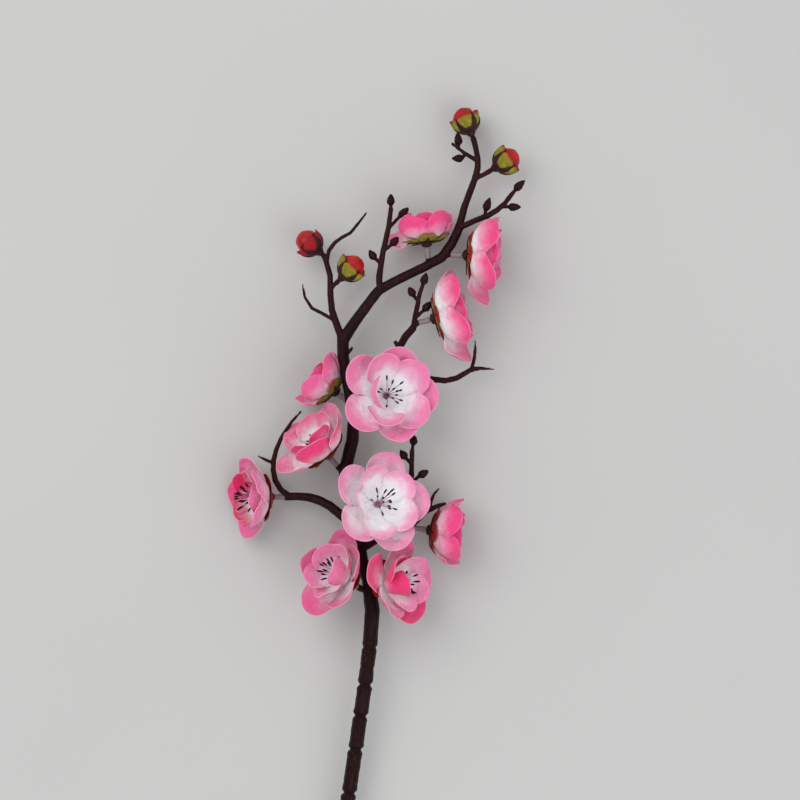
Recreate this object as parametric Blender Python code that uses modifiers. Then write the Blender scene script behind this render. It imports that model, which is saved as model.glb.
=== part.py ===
"""Artificial cherry blossom sprig, lying on its back on a table.

A moulded plastic branch carries four wrapped buds and eleven cloth flowers. Each flower is a stack on one axis:
a clear stamen moulding whose sleeve slips over a peg of the branch, a dark calyx, and two cloth petal layers.

The tables below are in millimetres: x across the sprig, y along it from the cut end, z above the table.
The scene is in metres, with its origin under the middle of the sprig's bounding box.
"""

import math

import bmesh
import bpy
import numpy as np
from mathutils import Euler, Vector

MM = 0.001
WELD = 0.01 * MM
GAP = 0.3
LOBES = 5
LOBE_STEP = 360 / LOBES
HALF_LOBE = LOBE_STEP / 2

PEG_RADIUS = 0.45
ELBOW = 1.2
FLOWER_STUB_RADIUS = 1.15
FLOWER_PEG_LENGTH = 2.5
BUD_STUB_RADIUS = 0.85
BUD_PEG_LENGTH = 5.5
TRUNK_SIDES = 8
TWIG_SIDES = 6
BORE_RADIUS = PEG_RADIUS + GAP

STEM_RADIUS = 3.0
STEM_LINE = [
    (-26.0, 0, 3.3),
    (-10.8, 92, 9.0),
    (-7.8, 112, 10.5),
    (-4.0, 138, 12.5),
    (-1.8, 156, 14.0),
    (-0.8, 172, 15.0),
]
# How far along the stem each pinched groove lies, and how much it takes off the radius.
STEM_GROOVES = [
    (22, 0.4),
    (41, 0.8),
    (59, 0.5),
    (77, 0.8),
    (94.5, 0.8),
    (112, 0.8),
    (125.5, 0.7),
    (138, 0.8),
    (145, 0.4),
    (153, 0.4),
]
GROOVE_REACH = 1.2

# Rods of the branch moulding: (x, y, z, radius) at each station.
TRUNK = [
    (-0.8, 172, 15.0, 2.9),
    (-2.6, 180, 15.5, 2.7),
    (-5.2, 188, 16, 2.5),
    (-7.6, 204, 16.5, 2.4),
    (-9.6, 212, 17, 2.5),
    (-11.4, 220, 17, 2.6),
    (-12.0, 224, 17, 2.7),
    (-11.0, 228, 17, 2.6),
    (-9.0, 236, 17, 2.5),
    (-8.6, 244, 17, 2.3),
    (-10.0, 254, 17, 2.3),
    (-11.4, 262, 17, 2.2),
    (-12.8, 270, 17, 2.3),
    (-12.8, 276, 17, 2.5),
    (-9.2, 281.6, 16.5, 2.3),
    (-5.2, 287.2, 16, 2.1),
    (-1.6, 292, 16, 2.0),
    (1.2, 295.6, 16, 1.9),
    (4.4, 297.6, 16, 1.8),
    (10.0, 300.6, 16, 1.7),
    (19.6, 305.2, 16, 1.7),
    (26.8, 309.2, 16, 1.9),
    (30.8, 314.8, 15.5, 1.7),
    (32.8, 318.8, 15, 1.6),
    (34.4, 324, 14.5, 1.3),
    (36.0, 330, 14, 1.2),
    (39.8, 340, 13, 1.15),
    (41.2, 345, 12.5, 1.1),
    (41.2, 349, 12, 1.0),
    (40.2, 354, 11.5, 0.95),
    (39.2, 357.6, 11, 0.9),
]
TWIGS = {
    "right_twig": [
        (32.6, 318, 15, 1.2),
        (34.6, 321.4, 16, 1.1),
        (40, 323.8, 17.6, 1.0),
        (44.8, 325.6, 18, 1.0),
        (48.8, 328, 17.6, 0.95),
        (52, 330.8, 17, 0.85),
        (55.2, 335, 16, 0.75),
    ],
    "mid_twig": [
        (1.6, 295, 16, 1.2),
        (1.8, 302, 17, 1.15),
        (3.2, 311.2, 18, 1.0),
        (5.4, 320.8, 18, 0.9),
        (6.4, 328.6, 18, 0.75),
    ],
    "left_branch": [
        (-12.8, 275, 17, 1.6),
        (-15.2, 282, 17, 1.3),
        (-17.2, 288, 17, 1.2),
        (-17.8, 294, 16, 1.1),
        (-18.0, 302, 15, 1.0),
        (-19.8, 308.6, 14, 0.95),
        (-20.9, 310.4, 13.5, 0.9),
    ],
    "curved_spur": [
        (-17.0, 284.4, 17, 0.7),
        (-21.2, 286.8, 17, 0.55),
        (-25.2, 288.8, 17, 0.5),
        (-28.0, 293.2, 17, 0.4),
        (-29.0, 298.4, 17, 0.25),
    ],
    "long_thorn": [
        (-19.4, 307.6, 14, 0.8),
        (-18.4, 312, 14, 0.65),
        (-16.0, 315.2, 14, 0.6),
        (-13.2, 317.2, 14, 0.55),
        (-9.8, 319, 14, 0.5),
        (-6.2, 323.4, 14, 0.4),
        (-3.0, 327.6, 14, 0.2),
    ],
    "bud_stalk_left": [(-17.6, 296.6, 16, 0.75), (-15.6, 299, 16.5, 0.7), (-14.4, 299.9, 16.8, 0.7)],
    "bud_stalk_right": [(40.6, 341, 12.8, 0.9), (43.6, 342.4, 13, 0.8), (46.6, 344.2, 13.2, 0.8)],
    "top_twig": [(40.8, 348, 12, 0.75), (35.6, 351.2, 13, 0.6), (30.8, 354.8, 14, 0.45)],
    "flower_bough": [
        (-9.6, 251, 17, 1.7),
        (-4.8, 255, 15, 1.6),
        (0.4, 258, 14, 1.6),
        (5.6, 263, 14, 1.5),
        (9.6, 272.8, 15, 1.4),
        (12, 277.2, 16, 1.35),
        (15.6, 281.2, 16.6, 1.3),
    ],
    "bough_nub": [(9.8, 272.2, 15, 0.9), (8.0, 275.6, 15.4, 0.6)],
    "low_side_twig": [
        (3.6, 260.6, 14, 1.3),
        (12, 260.8, 13, 1.2),
        (20.8, 260.8, 12, 1.1),
        (28, 259.8, 12, 1.0),
        (32.6, 260.8, 12, 0.95),
        (38.8, 264.4, 12, 0.8),
        (42, 264.8, 12, 0.6),
        (47.6, 264.4, 12, 0.2),
    ],
    "low_side_spur": [
        (38.6, 263.6, 12, 0.7),
        (39.8, 268.8, 12.5, 0.55),
        (40.2, 272.8, 13, 0.4),
        (40, 275.8, 13, 0.25),
    ],
    "knob_twig": [
        (15.2, 280.6, 16.6, 0.9),
        (16.2, 286, 19, 0.85),
        (17.0, 290, 20, 0.8),
        (18, 294.8, 20.5, 0.7),
        (19, 297.6, 21, 0.6),
    ],
    "left_lower_branch": [
        (-7.6, 203, 16.5, 1.9),
        (-12.0, 204.8, 15, 1.8),
        (-18.0, 209.6, 13, 1.7),
        (-22.0, 211.8, 11.8, 1.65),
        (-26.0, 213, 10.6, 1.6),
        (-30.0, 213.4, 9.6, 1.5),
        (-34.0, 213.4, 8.6, 1.4),
        (-35.8, 213.2, 8.2, 1.3),
    ],
    "curved_twig": [
        (-33.8, 212.9, 8.8, 1.1),
        (-38, 216.4, 10, 1.0),
        (-40, 220, 11, 1.0),
        (-40.8, 224, 11.5, 0.95),
        (-40.6, 228, 12, 0.9),
        (-39.6, 232, 12, 0.8),
        (-38, 236, 12, 0.7),
        (-35.6, 240, 12, 0.6),
        (-33.2, 243.6, 12, 0.5),
        (-29.6, 247.6, 12, 0.3),
    ],
    "curved_twig_spur": [(-40.2, 226.6, 11.8, 0.6), (-44, 228.2, 12, 0.45), (-46.8, 229.6, 12, 0.2)],
    "trunk_spur_top": [(-12.0, 269.4, 17.5, 0.9), (-8.8, 273.2, 18.5, 0.3)],
    "trunk_spur_dark": [(-10.4, 255.2, 18, 0.8), (-5.8, 254.6, 19, 0.2)],
    "right_lower_bough": [
        (-6.0, 192, 16, 1.6),
        (1.0, 196.6, 15, 1.5),
        (8.0, 200, 14.6, 1.4),
        (12.6, 200.9, 14.6, 1.3),
        (15.5, 200.9, 14.6, 1.25),
    ],
    "right_lower_twig": [
        (8.4, 199.6, 14.6, 1.2),
        (15.2, 202.6, 16, 1.1),
        (18, 205.2, 17, 1.05),
        (20.8, 207.8, 18, 1.0),
        (24.8, 209.6, 18.5, 0.8),
        (28.4, 210.8, 18.5, 0.4),
    ],
    "right_lower_spur": [
        (21.6, 207.8, 18, 0.7),
        (22.4, 211.6, 18, 0.55),
        (23.6, 214.4, 18, 0.4),
        (26.2, 217.4, 18, 0.2),
    ],
    "upright_twig": [
        (2.6, 197, 15, 1.1),
        (9.0, 205, 15.5, 1.0),
        (13.6, 213, 16, 0.95),
        (14.6, 222, 16.5, 0.9),
        (14.9, 232, 17, 0.75),
    ],
}
# Moulded knob buds: where the stalk starts, how it runs, and the middle and tip of the knob.
KNOBS = {
    "top_twig_knob": [(33.4, 352.6, 13.4), (33.4, 354.2, 13.6), (33.4, 356.4, 14), (33.0, 359, 14)],
    "top_twig_side_knob": [(36.2, 350.6, 13), (35.2, 349.2, 13.4), (33.6, 348.8, 13.6), (30.8, 348.8, 13.6)],
    "right_twig_knob": [(55, 334.6, 16), (56, 336, 16), (57.4, 337.6, 16), (60, 340, 16)],
    "right_twig_mid_knob": [(50.2, 329.2, 17), (53.4, 329.4, 17.6), (55.4, 329.2, 18), (58.4, 329.2, 18)],
    "right_twig_low_knob": [(43.8, 324.8, 18), (44.2, 327.6, 18.6), (44.8, 330, 19), (46, 333, 19)],
    "mid_twig_knob": [(6.3, 328, 18), (6.4, 330, 18), (6.4, 331.8, 18), (6.4, 334.4, 18)],
    "mid_twig_left_knob": [(2.4, 306.6, 17.6), (0.2, 308.6, 18.4), (-1.0, 309.8, 19), (-2.2, 312, 19)],
    "mid_twig_right_knob": [(5.4, 320.6, 18), (9.8, 325.2, 20.6), (11.4, 326.8, 21.6), (13.4, 328.8, 22)],
    "mid_twig_low_knob": [(3.4, 311.6, 18), (6.6, 314.2, 19), (7.8, 315.4, 19.6), (9.4, 317.2, 20)],
    "knob_twig_knob": [(18.8, 297, 21), (19.2, 298.4, 21.2), (19.8, 300.2, 21.4), (20.6, 302.8, 21.6)],
    "knob_twig_left_knob": [(17.2, 291.6, 20), (15.6, 293.6, 21), (14.6, 295.2, 21.4), (13.6, 297.2, 21.4)],
    "knob_twig_right_knob": [(16, 284.8, 18.6), (19.4, 287.8, 19.6), (20.8, 289.2, 20), (22.2, 291.4, 20)],
    "upright_knob": [(14.9, 231.6, 17), (15.2, 234, 17), (15.6, 236, 17), (15.2, 238.4, 17)],
    "upright_left_knob": [(14.8, 226.4, 16.8), (12.4, 228.8, 17.6), (11.4, 230, 18), (10.2, 232, 18)],
    "upright_right_knob": [(14.4, 218.8, 16.2), (17.6, 221.6, 17), (19.2, 222.6, 17.4), (21.4, 223.8, 17.4)],
}
KNOB_RADIUS = 1.65
KNOB_STALK_RADIUS = 0.55

# Wrapped buds: end of the twig (x, y, z), then the heading and the rise of the bud's axis in degrees.
BUDS = [
    ((39.2, 357.6, 11), 114, -8),
    ((46.6, 344.2, 13.2), 32, 5),
    ((-20.9, 310.4, 13.5), 140, 0),
    ((-14.4, 299.9, 16.8), 45, 12),
]
BUD_CENTRE = 8.0
WRAP_REACH = 118
CUP_LENGTH = 11.9
BALL_RADIUS = 4.7
BALL_SIDES = 9
BORE_END = 1.4
WRAP_RADIUS = 5.15
WRAP_THICKNESS = 0.3
CUP_SEAT = 0.25
CUP_THICKNESS = 0.4

# Flowers: lower end of the sleeve, then heading, rise and spin of the axis in degrees, petal length, how far each of
# the five petals leans away from the axis in the outer and the inner layer, how much the petals cup, and where the
# branch's stub starts.
FLOWERS = [
    dict(at=(21.3, 308.6, 15), heading=96, rise=-3, spin=6, length=17.5,
         outer=(42, 64, 44, 40, 38), inner=(24, 24, 24, 24, 24), cup=26, stub=(20.8, 305.4, 16)),
    dict(at=(30.4, 310.2, 16), heading=-2, rise=4, spin=-4, length=20.5,
         outer=(54, 44, 48, 54, 72), inner=(34, 34, 34, 34, 36), cup=24, stub=(26.4, 309.2, 16)),
    dict(at=(17.6, 283, 17.4), heading=15, rise=3, spin=-10, length=21.5,
         outer=(54, 60, 56, 56, 70), inner=(34, 36, 34, 34, 36), cup=24, stub=(14.6, 280.6, 16.6)),
    dict(at=(-10.8, 251.6, 12.4), heading=142, rise=2, spin=10, length=18,
         outer=(38, 38, 36, 36, 40), inner=(20, 20, 20, 20, 20), cup=26, stub=(-9.4, 250.4, 15.4)),
    dict(at=(1.9, 252.5, 19.4), heading=27, rise=72, spin=-27, length=21.5,
         outer=(64, 62, 66, 66, 62), inner=(46, 44, 30, 42, 44), cup=20, stub=(1.0, 257, 14)),
    dict(at=(-15.4, 226, 18), heading=130, rise=25, spin=18, length=21,
         outer=(50, 68, 50, 48, 50), inner=(30, 32, 30, 30, 30), cup=24, stub=(-12.2, 223, 17)),
    dict(at=(-36.6, 213.2, 8), heading=180, rise=26, spin=-6, length=18,
         outer=(54, 56, 52, 54, 58), inner=(34, 34, 30, 34, 34), cup=22, stub=(-34.4, 213.3, 8.6)),
    dict(at=(-2.9, 208.8, 21.2), heading=25, rise=64, spin=-20, length=22,
         outer=(64, 70, 64, 66, 63), inner=(48, 48, 44, 46, 46), cup=20, stub=(-7.2, 206, 16.6)),
    dict(at=(15.8, 200.9, 14.8), heading=-8, rise=2, spin=6, length=18,
         outer=(42, 46, 46, 46, 50), inner=(26, 28, 28, 28, 28), cup=26, stub=(13.6, 200.9, 14.6)),
    dict(at=(-7.2, 177.6, 18.4), heading=146, rise=42, spin=10, length=20,
         outer=(56, 66, 60, 54, 54), inner=(36, 34, 34, 34, 34), cup=20, stub=(-2.0, 175, 15.4)),
    dict(at=(-0.6, 179.2, 18.6), heading=0, rise=41, spin=15, length=20,
         outer=(60, 45, 52, 54, 58), inner=(38, 36, 32, 34, 36), cup=20, stub=(-2.4, 179, 15.6)),
]

SLEEVE_RADIUS = 1.2
SLEEVE_LENGTH = 4.4
SOCKET_DEPTH = 3.0
PIN_RADIUS = 0.5
HOLE_RADIUS = PIN_RADIUS + GAP
CALYX_SEAT = SLEEVE_LENGTH + GAP + 0.25
OUTER_SEAT = 7.4
INNER_SEAT = 8.4
HEAD_BASE = 9.0
HEAD_TOP = 9.6
HEAD_RADIUS = 1.3
FILAMENTS = 8
FILAMENT_INSET = 0.13
FILAMENT_LEAN = 0.5
FILAMENT_LENGTH = 6.5
TIP_LENGTH = 1.6
PETAL_THICKNESS = 0.45
CALYX_THICKNESS = 0.45
SEPAL_LENGTH = 8.5
INNER_PETAL_SHARE = 0.84

# Rows of a formed sheet: share of the length, half the lobe's width in degrees, and how round the row is drawn.
PETAL_JOIN = 0.24
PETAL_ROWS = [(0, HALF_LOBE, 0), (PETAL_JOIN, HALF_LOBE, 0), (0.64, 34, 0.02), (1, 20, 0.12)]
INNER_ROWS = [(0, HALF_LOBE, 0), (PETAL_JOIN, HALF_LOBE, 0), (0.65, 33, 0.02), (1, 21, 0.12)]
SEPAL_ROWS = [(0, HALF_LOBE, 0), (0.22, HALF_LOBE, 0), (0.42, 9, 0), (1, 1.2, 0)]
WRAP_ROWS = [(0, HALF_LOBE, 0), (0.3, HALF_LOBE, 0), (0.65, HALF_LOBE, 0), (1, HALF_LOBE, 0.14)]
CUP_ROWS = [(0, HALF_LOBE, 0), (0.2, HALF_LOBE, 0), (0.47, HALF_LOBE, 0), (0.72, 17, 0), (1, 2, 0)]


def clear_scene():
    for obj in list(bpy.data.objects):
        bpy.data.objects.remove(obj, do_unlink=True)


def new_collection(name):
    collection = bpy.data.collections.new(name)
    bpy.context.scene.collection.children.link(collection)
    return collection


def material(name, colour, roughness, transmission=0.0):
    """One Principled material: a linear RGB colour, dull or glossy, and clear where light passes through."""
    made = bpy.data.materials.new(name)
    made.use_nodes = True
    shader = made.node_tree.nodes["Principled BSDF"]
    shader.inputs["Base Color"].default_value = (*colour, 1)
    shader.inputs["Roughness"].default_value = roughness
    shader.inputs["Metallic"].default_value = 0
    shader.inputs["Transmission Weight"].default_value = transmission
    made.diffuse_color = (*colour, 1)
    return made


def shade_smooth(obj):
    for face in obj.data.polygons:
        face.use_smooth = True


def baked(obj):
    """The object's evaluated shape as a mesh of its own, with loose caps welded on; the source object goes."""
    graph = bpy.context.evaluated_depsgraph_get()
    mesh = bpy.data.meshes.new_from_object(obj.evaluated_get(graph))
    bm = bmesh.new()
    bm.from_mesh(mesh)
    bmesh.ops.remove_doubles(bm, verts=bm.verts, dist=WELD)
    bmesh.ops.recalc_face_normals(bm, faces=bm.faces)
    bm.to_mesh(mesh)
    bm.free()
    made = bpy.data.objects.new(obj.name + "_mesh", mesh)
    obj.users_collection[0].objects.link(made)
    made.matrix_world = obj.matrix_world
    name = obj.name
    bpy.data.objects.remove(obj, do_unlink=True)
    made.name = name
    return made


def rod(name, stations, collection, sides):
    """A tapered round rod through (x, y, z, radius) stations, as a closed mesh."""
    curve = bpy.data.curves.new(name, "CURVE")
    curve.dimensions = "3D"
    curve.bevel_depth = MM
    curve.bevel_resolution = (sides - 4) // 2
    curve.use_fill_caps = True
    spline = curve.splines.new("POLY")
    spline.points.add(len(stations) - 1)
    for point, (x, y, z, radius) in zip(spline.points, stations):
        point.co = (x * MM, y * MM, z * MM, 1)
        point.radius = radius
    obj = bpy.data.objects.new(name, curve)
    collection.objects.link(obj)
    bpy.context.view_layer.update()
    return baked(obj)


def turned(name, profile, steps, collection):
    """A shape turned round the Z axis from (radius, height) points that run down its outer side."""
    mesh = bpy.data.meshes.new(name)
    points = [(radius * MM, 0, height * MM) for radius, height in profile]
    mesh.from_pydata(points, [(i, i + 1) for i in range(len(points) - 1)], [])
    obj = bpy.data.objects.new(name, mesh)
    collection.objects.link(obj)
    screw = obj.modifiers.new("turn", "SCREW")
    screw.steps = steps
    screw.render_steps = steps
    screw.use_merge_vertices = True
    screw.merge_threshold = WELD
    screw.use_smooth_shade = True
    return obj


def side_curve(angles, hole, length):
    """How far out and how high a formed sheet is at each distance along it, from its lean at a few shares."""
    distance = np.linspace(0, length, 60)
    shares, leans = zip(*angles)
    lean = np.radians(np.interp(distance / length, shares, leans))
    step = distance[1]
    out = hole + np.concatenate([[0], np.cumsum(np.sin(lean[:-1]) * step)])
    up = np.concatenate([[0], np.cumsum(np.cos(lean[:-1]) * step)])
    return distance, out, up


def lobed_cup(name, rows, lobe_angles, hole, length, thickness, collection, columns=4):
    """A cup of five lobes round a centre hole: five grids formed to their side curves, joined and thickened."""
    bm = bmesh.new()
    last = len(rows) - 1
    for lobe, angles in enumerate(lobe_angles):
        distance, out, up = side_curve(angles, hole, length)
        grid = bmesh.ops.create_grid(bm, x_segments=columns, y_segments=last, size=1)
        for vertex in grid["verts"]:
            across = vertex.co.x
            share, half_width, roundness = rows[round((vertex.co.y + 1) / 2 * last)]
            along = share * length * (1 - roundness * across * across)
            turn = math.radians(lobe * LOBE_STEP + across * half_width)
            radius = np.interp(along, distance, out) * MM
            height = np.interp(along, distance, up) * MM
            vertex.co = (radius * math.cos(turn), radius * math.sin(turn), height)
    bmesh.ops.remove_doubles(bm, verts=bm.verts, dist=WELD)
    bmesh.ops.reverse_faces(bm, faces=bm.faces)
    mesh = bpy.data.meshes.new(name)
    bm.to_mesh(mesh)
    bm.free()
    obj = bpy.data.objects.new(name, mesh)
    collection.objects.link(obj)
    solidify = obj.modifiers.new("sheet", "SOLIDIFY")
    solidify.thickness = thickness * MM
    solidify.offset = 0
    shade_smooth(obj)
    return obj


def stem_stations():
    """The stem's rod: its line, with three stations at each pinched groove."""
    along = [(0, 0.0), (168, 0.0)]
    for place, depth in STEM_GROOVES:
        along += [(place - GROOVE_REACH, 0.1), (place, depth), (place + GROOVE_REACH, 0.1)]
    xs, ys, zs = zip(*STEM_LINE)
    stations = []
    for y, pinch in sorted(along):
        stations.append((np.interp(y, ys, xs), y, np.interp(y, ys, zs), STEM_RADIUS - pinch))
    return stations


def knob_stations(points):
    """A thin stalk that swells to a knob and ends in a point."""
    start, neck, middle, tip = (Vector(point) for point in points)
    below = neck.lerp(middle, 0.6)
    above = middle.lerp(tip, 0.35)
    radii = [KNOB_STALK_RADIUS, KNOB_STALK_RADIUS, 0.95 * KNOB_RADIUS, 0.75 * KNOB_RADIUS, 0.15]
    return [(*point, radius) for point, radius in zip([start, neck, below, above, tip], radii)]


def axis_of(heading, rise):
    heading, rise = math.radians(heading), math.radians(rise)
    flat = math.cos(rise)
    return Vector((flat * math.cos(heading), flat * math.sin(heading), math.sin(rise)))


def peg_stations(stub, at, heading, rise, stub_radius, peg_length):
    """A stub from the branch that ends in a shoulder and a thin peg along the flower's or bud's axis."""
    axis, foot = axis_of(heading, rise), Vector(at)
    shoulder = foot - axis * GAP
    places = [Vector(stub), foot - axis * ELBOW, shoulder, foot, foot + axis * peg_length]
    radii = [stub_radius, stub_radius, stub_radius * 0.95, PEG_RADIUS, PEG_RADIUS]
    return [(*place, radius) for place, radius in zip(places, radii)]


def build_branch(parts, rods):
    """The branch moulding: its stem and trunk, joined with every twig, thorn, knob and peg."""
    branch = rod("branch", stem_stations() + TRUNK[1:], parts, TRUNK_SIDES)
    for name, stations in TWIGS.items():
        rod(name, stations, rods, TWIG_SIDES)
    for name, points in KNOBS.items():
        rod(name, knob_stations(points), rods, TWIG_SIDES)
    for number, flower in enumerate(FLOWERS, 1):
        stations = peg_stations(flower["stub"], flower["at"], flower["heading"], flower["rise"],
                                FLOWER_STUB_RADIUS, FLOWER_PEG_LENGTH)
        rod(f"flower_peg_{number}", stations, rods, TWIG_SIDES)
    for number, (at, heading, rise) in enumerate(BUDS, 1):
        behind = Vector(at) - axis_of(heading, rise) * 1.3 * ELBOW
        stations = peg_stations(behind, at, heading, rise, BUD_STUB_RADIUS, BUD_PEG_LENGTH)
        rod(f"bud_peg_{number}", stations, rods, TWIG_SIDES)
    for piece in rods.objects:
        piece.hide_render = True
        piece.display_type = "WIRE"
    join = branch.modifiers.new("moulded_as_one", "BOOLEAN")
    join.operation = "UNION"
    join.solver = "EXACT"
    join.operand_type = "COLLECTION"
    join.collection = rods
    shade_smooth(branch)
    return branch


def seat(obj, holder, height, spin, finish):
    """Puts a piece on a flower's or bud's axis, this high above the peg's foot."""
    obj.parent = holder
    obj.location = (0, 0, height * MM)
    obj.rotation_euler = (0, 0, math.radians(spin))
    obj.data.materials.clear()
    obj.data.materials.append(finish)


def holder_at(name, at, heading, rise, parts):
    """An empty at the foot of a peg, with its Z axis along the flower or bud."""
    empty = bpy.data.objects.new(name, None)
    parts.objects.link(empty)
    empty.location = Vector(at) * MM
    empty.rotation_euler = Euler((0, math.radians(90 - rise), math.radians(heading)))
    return empty


def build_ball(name, parts):
    """The bud's foam ball, turned, with the bore that takes the twig's peg."""
    profile = [(0, BALL_RADIUS)]
    for degrees in range(30, 165, 30):
        angle = math.radians(degrees)
        profile.append((BALL_RADIUS * math.sin(angle), BALL_RADIUS * math.cos(angle)))
    profile += [(BORE_RADIUS, -BALL_RADIUS), (BORE_RADIUS, -BORE_END), (0, -BORE_END)]
    return turned(name, profile, BALL_SIDES, parts)


def build_bud(number, at, heading, rise, parts):
    """A round bud: foam ball, cloth wrap with a scalloped edge, and a dark cup with five sepals."""
    holder = holder_at(f"bud_{number}_axis", at, heading, rise, parts)
    ball = build_ball(f"bud_{number}_ball", parts)
    seat(ball, holder, BUD_CENTRE, 0, material(f"bud_{number}_red", (0.35, 0.004, 0.008), 0.45))
    angles = [(0, 90), (1, 90 - WRAP_REACH)]
    length = math.radians(WRAP_REACH) * WRAP_RADIUS
    wrap = lobed_cup(f"bud_{number}_wrap", WRAP_ROWS, [angles] * LOBES, BORE_RADIUS, length, WRAP_THICKNESS,
                     parts, 2)
    seat(wrap, holder, BUD_CENTRE - WRAP_RADIUS, HALF_LOBE, material(f"bud_{number}_green", (0.3, 0.28, 0.03), 0.85))
    angles = [(0, 36), (0.19, 36), (0.21, 70), (1, -15)]
    cup = lobed_cup(f"bud_{number}_calyx", CUP_ROWS, [angles] * LOBES, BORE_RADIUS, CUP_LENGTH, CUP_THICKNESS,
                    parts, 2)
    seat(cup, holder, CUP_SEAT, 0, material(f"bud_{number}_maroon", (0.05, 0.008, 0.012), 0.4))


def build_stamens(name, parts):
    """The clear moulding: sleeve over the peg, pin through the cloth, head, and its filaments with thick tips."""
    profile = [
        (0, HEAD_TOP),
        (HEAD_RADIUS, HEAD_TOP),
        (PIN_RADIUS, HEAD_BASE),
        (PIN_RADIUS, SLEEVE_LENGTH),
        (SLEEVE_RADIUS, SLEEVE_LENGTH),
        (SLEEVE_RADIUS, 0),
        (BORE_RADIUS, 0),
        (BORE_RADIUS, SOCKET_DEPTH),
        (0, SOCKET_DEPTH),
    ]
    body = turned(name, profile, FILAMENTS, parts)
    bpy.context.view_layer.update()
    body = baked(body)
    bm = bmesh.new()
    bm.from_mesh(body.data)
    roots = [face for face in bm.faces if face.calc_center_median().z > (HEAD_TOP - 0.01) * MM]
    bmesh.ops.inset_individual(bm, faces=roots, thickness=FILAMENT_INSET * MM)
    for number, root in enumerate(roots):
        grow_filament(bm, root, FILAMENT_LENGTH * (1 - 0.18 * (number % 3)))
    bm.to_mesh(body.data)
    bm.free()
    shade_smooth(body)
    return body


def grow_filament(bm, root, length):
    """Draws one filament out of the head: a thin leaning rod, then a thicker tip."""
    middle = root.calc_center_median()
    lean = Vector((middle.x, middle.y, 0)).normalized() * FILAMENT_LEAN + Vector((0, 0, 1))
    lean.normalize()
    face = root
    for reach, size in ((length, 0.8), (TIP_LENGTH, 1.8)):
        face = bmesh.ops.extrude_discrete_faces(bm, faces=[face])["faces"][0]
        bmesh.ops.translate(bm, verts=face.verts, vec=lean * reach * MM)
        centre = face.calc_center_median()
        for vertex in face.verts:
            vertex.co = centre + (vertex.co - centre) * size


def foot_lean(leans, cup):
    """How far the sheet leans at the ring that joins the five petals."""
    return min(86, sum(leans) / LOBES + cup)


def petal_angles(leans, cup):
    """Each petal lies flat at the hole, turns up past the joining ring, cups, and rolls out a little at its tip."""
    shared = [(0, 88), (0.08, 88), (PETAL_JOIN, foot_lean(leans, cup))]
    return [shared + [(PETAL_JOIN + 0.08, lean + 0.8 * cup), (0.75, lean - 0.8 * cup), (1, lean - 0.5 * cup)]
            for lean in leans]


def sepal_angles(foot):
    """A sepal rises as the wall of the calyx cup, then spreads under the petals."""
    spread = min(88, foot + 5)
    return [(0, 84), (0.08, 70), (0.14, 20), (0.22, 30), (0.3, spread), (1, spread)]


def build_flower(number, flower, parts):
    """One blossom on its peg."""
    holder = holder_at(f"flower_{number}_axis", flower["at"], flower["heading"], flower["rise"], parts)
    name = f"flower_{number}_"
    spin, length = flower["spin"], flower["length"]
    stamens = build_stamens(name + "stamens", parts)
    seat(stamens, holder, 0, spin, material(name + "clear", (0.42, 0.34, 0.36), 0.3, 0.5))
    sepals = [sepal_angles(foot_lean(flower["outer"], flower["cup"]))] * LOBES
    calyx = lobed_cup(name + "calyx", SEPAL_ROWS, sepals, HOLE_RADIUS, SEPAL_LENGTH, CALYX_THICKNESS, parts, 2)
    seat(calyx, holder, CALYX_SEAT, spin + HALF_LOBE, material(name + "maroon", (0.05, 0.008, 0.012), 0.4))
    outer = lobed_cup(name + "petals_outer", PETAL_ROWS, petal_angles(flower["outer"], flower["cup"]),
                      HOLE_RADIUS, length, PETAL_THICKNESS, parts)
    seat(outer, holder, OUTER_SEAT, spin, material(name + "outer_pink", (0.75, 0.12, 0.28), 0.8))
    inner = lobed_cup(name + "petals_inner", INNER_ROWS, petal_angles(flower["inner"], flower["cup"]),
                      HOLE_RADIUS, length * INNER_PETAL_SHARE, PETAL_THICKNESS, parts, 3)
    seat(inner, holder, INNER_SEAT, spin + HALF_LOBE, material(name + "inner_pink", (0.82, 0.3, 0.45), 0.8))


def centre_on_table(parts, rods):
    """Moves the sprig so that the middle of its footprint is at the origin and its lowest point is on the table."""
    bpy.context.view_layer.update()
    graph = bpy.context.evaluated_depsgraph_get()
    corners = []
    for obj in parts.objects:
        if obj.type != "MESH":
            continue
        evaluated = obj.evaluated_get(graph)
        corners += [evaluated.matrix_world @ vertex.co for vertex in evaluated.data.vertices]
    corners = np.array(corners)
    low, high = corners.min(axis=0), corners.max(axis=0)
    shift = Vector((-(low[0] + high[0]) / 2, -(low[1] + high[1]) / 2, -low[2]))
    for obj in list(parts.objects) + list(rods.objects):
        if obj.parent is None:
            obj.location += shift


def build():
    clear_scene()
    parts = new_collection("cherry_blossom_sprig")
    rods = new_collection("branch_rods")
    branch = build_branch(parts, rods)
    branch.data.materials.append(material("branch_plastic", (0.03, 0.008, 0.01), 0.38))
    for number, (at, heading, rise) in enumerate(BUDS, 1):
        build_bud(number, at, heading, rise, parts)
    for number, flower in enumerate(FLOWERS, 1):
        build_flower(number, flower, parts)
    centre_on_table(parts, rods)


build()
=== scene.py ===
# %% [markdown]
# # An artificial cherry blossom sprig
#
# This lesson finishes a sprig of silk cherry blossom that lies on its back on a table. A solid model of it
# already exists, with every piece in its place. Each cell takes one real piece, says what it is made of,
# and builds the shape and the finish that the eye sees, on the axis that the solid piece gives.
#
# All lengths in the cells are in millimetres. A piece is built at the origin, with its own axis upright,
# and only then set on the sprig.

# %% Load the solid model
import math

import bmesh
import bpy
import numpy as np
from mathutils import Euler, Matrix, Vector, noise
from mathutils.bvhtree import BVHTree


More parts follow.
